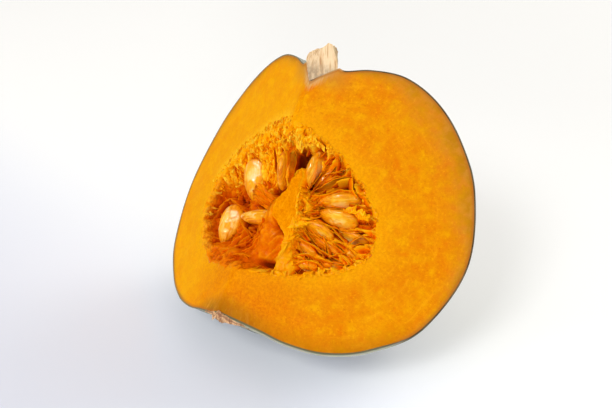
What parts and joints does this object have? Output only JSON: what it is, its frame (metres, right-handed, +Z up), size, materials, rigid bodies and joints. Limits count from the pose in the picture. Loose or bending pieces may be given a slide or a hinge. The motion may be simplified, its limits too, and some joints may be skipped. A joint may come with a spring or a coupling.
{
  "type": "kabocha squash wedge",
  "caption": "Wedge cut from a kabocha squash, resting on its rind, with its stem stub, orange flesh, open seed hollow, fibrous pulp and loose seeds.",
  "frame": {"origin": "the middle of the flattened ground spot of the rind, which the wedge rests on", "axes": "+Z up out of the surface it rests on; -Y is the side that the right cut face looks towards, tilted up; +X is to the right of that face"},
  "size_m": [0.1376, 0.1334, 0.1304],
  "materials": {
    "flesh_and_rind": "moist cut flesh, orange and yellow, with a thin dark green, silver-streaked, slightly waxy rind on the outside",
    "stem": "dry corky wood with a lengthwise grain, sawn and broken",
    "pulp": "wet, fibrous and translucent, deep orange",
    "seed": "smooth wet seed coat, cream under an orange film"
  },
  "bodies": {
    "root": {"squash_wedge": "flesh_and_rind", "stem": "stem", "pulp": "pulp", "seed_right_01": "seed", "seed_right_02": "seed", "seed_right_03": "seed", "seed_right_04": "seed", "seed_right_05": "seed", "seed_right_06": "seed", "seed_right_07": "seed", "seed_right_08": "seed", "seed_right_09": "seed", "seed_right_10": "seed", "seed_right_11": "seed", "seed_right_12": "seed", "seed_left_01": "seed", "seed_left_02": "seed", "seed_left_03": "seed"}
  },
  "joints": []
}
